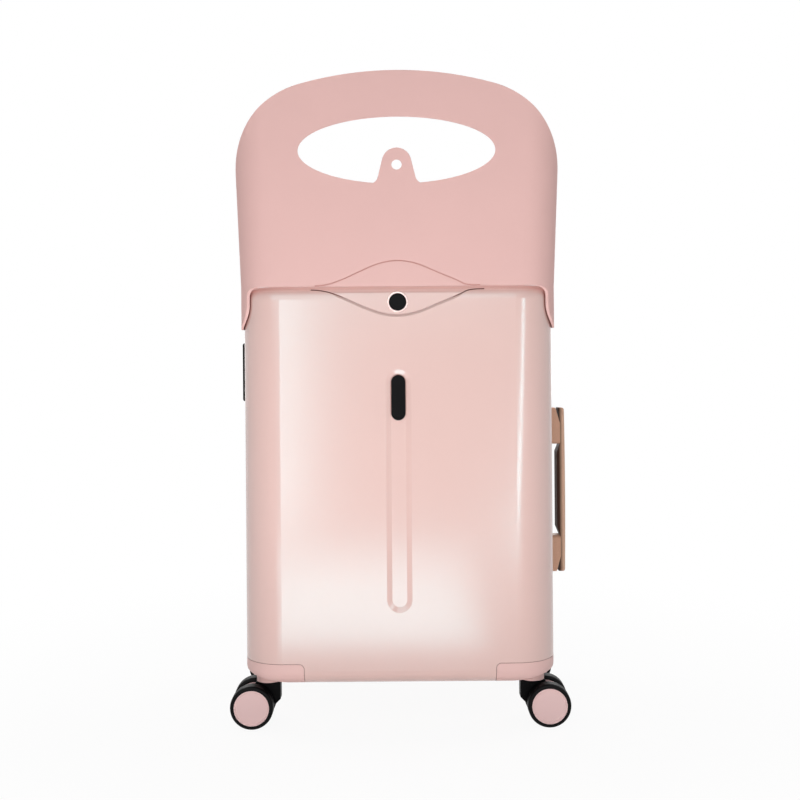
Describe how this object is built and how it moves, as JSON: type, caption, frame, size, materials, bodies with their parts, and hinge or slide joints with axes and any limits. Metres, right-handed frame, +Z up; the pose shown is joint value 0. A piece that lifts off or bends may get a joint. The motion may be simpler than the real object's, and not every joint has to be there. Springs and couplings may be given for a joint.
{
  "type": "ride-on suitcase",
  "caption": "Hard-shell cabin suitcase on twin-wheel swivel casters with a fold-up back-rest panel that has an oval hand hole, a telescopic handle and a side handle, for a child to ride on.",
  "frame": {"origin": "On the floor, below the middle of the case's width and depth.", "axes": "+X to the case's right as seen from its front, +Y from the front to the rear, +Z up."},
  "size_m": [0.3985, 0.2602, 0.748],
  "materials": {
    "shell_pink": "satin pearl",
    "panel_pink": "satin",
    "trim_pink": "satin",
    "hub_pink": "satin",
    "black_plastic": "satin",
    "badge_black": "gloss",
    "dial_black": "satin",
    "bright_ring": "polished",
    "steel": "plain",
    "tube_aluminium": "anodised",
    "zip_fabric": "woven",
    "tan_leather": "smooth",
    "tyre_black": "satin"
  },
  "bodies": {
    "main_case": {"main_shell": "shell_pink", "main_zip": "zip_fabric", "zip_pulls": "black_plastic", "rear_guard_screws": "steel", "trolley_collar": "trim_pink", "trolley_foot": "black_plastic", "trolley_outer_tubes": "tube_aluminium", "lock_housing": "black_plastic", "lock_dial_shaft": "steel", "side_handle_blocks": "tan_leather", "side_handle_bar": "tan_leather", "rear_left_guard": "trim_pink", "rear_right_guard": "trim_pink"},
    "lid": {"front_shell": "shell_pink", "front_zip": "zip_fabric", "badge_plate": "badge_black", "button_bezel": "bright_ring", "button_cup": "black_plastic", "button_spring": "tyre_black", "panel_pivot_pins": "steel", "front_guard_screws": "steel", "front_left_guard": "trim_pink", "front_right_guard": "trim_pink"},
    "panel": {"backrest_panel": "panel_pink", "panel_bushes": "black_plastic"},
    "button": {"release_button": "badge_black"},
    "handle_lower": {"trolley_middle_tubes": "tube_aluminium", "trolley_tube_guides": "black_plastic"},
    "handle_upper": {"trolley_inner_tubes": "tube_aluminium", "trolley_grip": "trim_pink"},
    "thumb_button": {"trolley_button": "black_plastic"},
    "catch": {"lock_catch": "black_plastic"},
    "barrel": {"lock_barrel": "steel"},
    "dial_1": {"lock_dial_1": "dial_black"},
    "dial_2": {"lock_dial_2": "dial_black"},
    "dial_3": {"lock_dial_3": "dial_black"},
    "front_left_caster": {"front_left_fork": "black_plastic", "front_left_kingpin": "steel"},
    "front_left_wheels": {"front_left_axle": "steel", "front_left_hubs": "hub_pink", "front_left_tyres": "tyre_black"},
    "front_right_caster": {"front_right_fork": "black_plastic", "front_right_kingpin": "steel"},
    "front_right_wheels": {"front_right_axle": "steel", "front_right_hubs": "hub_pink", "front_right_tyres": "tyre_black"},
    "rear_left_caster": {"rear_left_fork": "black_plastic", "rear_left_kingpin": "steel"},
    "rear_left_wheels": {"rear_left_axle": "steel", "rear_left_hubs": "hub_pink", "rear_left_tyres": "tyre_black"},
    "rear_right_caster": {"rear_right_fork": "black_plastic", "rear_right_kingpin": "steel"},
    "rear_right_wheels": {"rear_right_axle": "steel", "rear_right_hubs": "hub_pink", "rear_right_tyres": "tyre_black"}
  },
  "joints": [
    {"name": "lid_hinge", "type": "hinge", "parent": "main_case", "child": "lid", "pos_m": [0.1783, -0.042, 0.28], "axis": [0, 0, 1], "range_deg": [0, 120]},
    {"name": "panel_fold", "type": "hinge", "parent": "lid", "child": "panel", "pos_m": [0, -0.0885, 0.485], "axis": [1, 0, 0], "range_deg": [-90, 0]},
    {"name": "button_press", "type": "slide", "parent": "lid", "child": "button", "axis": [0, 1, 0], "range_m": [0, 0.003], "stiffness_N_per_m": 500, "springref_m": -0.001, "deforming": ["button_spring"]},
    {"name": "handle_lower_slide", "type": "slide", "parent": "main_case", "child": "handle_lower", "axis": [0, 0, 1], "range_m": [0, 0.25]},
    {"name": "handle_upper_slide", "type": "slide", "parent": "handle_lower", "child": "handle_upper", "axis": [0, 0, 1], "range_m": [0, 0.25]},
    {"name": "thumb_press", "type": "slide", "parent": "handle_upper", "child": "thumb_button", "axis": [0, 0, 1], "range_m": [-0.003, 0], "stiffness_N_per_m": 400, "springref_m": 0.001},
    {"name": "catch_slide", "type": "slide", "parent": "main_case", "child": "catch", "axis": [0, 0, 1], "range_m": [-0.005, 0], "stiffness_N_per_m": 200, "springref_m": 0.001},
    {"name": "barrel_turn", "type": "hinge", "parent": "main_case", "child": "barrel", "pos_m": [-0.188, -0.0205, 0.4045], "axis": [1, 0, 0], "range_deg": [0, 90]},
    {"name": "dial_1_turn", "type": "hinge", "parent": "main_case", "child": "dial_1", "pos_m": [-0.184, -0.0205, 0.4135], "axis": [0, 0, 1], "continuous": true},
    {"name": "dial_2_turn", "type": "hinge", "parent": "main_case", "child": "dial_2", "pos_m": [-0.184, -0.0205, 0.4215], "axis": [0, 0, 1], "continuous": true},
    {"name": "dial_3_turn", "type": "hinge", "parent": "main_case", "child": "dial_3", "pos_m": [-0.184, -0.0205, 0.4295], "axis": [0, 0, 1], "continuous": true},
    {"name": "front_left_swivel", "type": "hinge", "parent": "lid", "child": "front_left_caster", "pos_m": [-0.153, -0.085, 0.052], "axis": [0, 0, 1], "continuous": true},
    {"name": "front_left_roll", "type": "hinge", "parent": "front_left_caster", "child": "front_left_wheels", "pos_m": [-0.1705, -0.085, 0.0248], "axis": [0, 1, 0], "continuous": true},
    {"name": "front_right_swivel", "type": "hinge", "parent": "lid", "child": "front_right_caster", "pos_m": [0.153, -0.085, 0.052], "axis": [0, 0, 1], "continuous": true},
    {"name": "front_right_roll", "type": "hinge", "parent": "front_right_caster", "child": "front_right_wheels", "pos_m": [0.1705, -0.085, 0.0248], "axis": [0, 1, 0], "continuous": true},
    {"name": "rear_left_swivel", "type": "hinge", "parent": "main_case", "child": "rear_left_caster", "pos_m": [-0.153, 0.085, 0.052], "axis": [0, 0, 1], "continuous": true},
    {"name": "rear_left_roll", "type": "hinge", "parent": "rear_left_caster", "child": "rear_left_wheels", "pos_m": [-0.1705, 0.085, 0.0248], "axis": [0, 1, 0], "continuous": true},
    {"name": "rear_right_swivel", "type": "hinge", "parent": "main_case", "child": "rear_right_caster", "pos_m": [0.153, 0.085, 0.052], "axis": [0, 0, 1], "continuous": true},
    {"name": "rear_right_roll", "type": "hinge", "parent": "rear_right_caster", "child": "rear_right_wheels", "pos_m": [0.1705, 0.085, 0.0248], "axis": [0, 1, 0], "continuous": true}
  ]
}
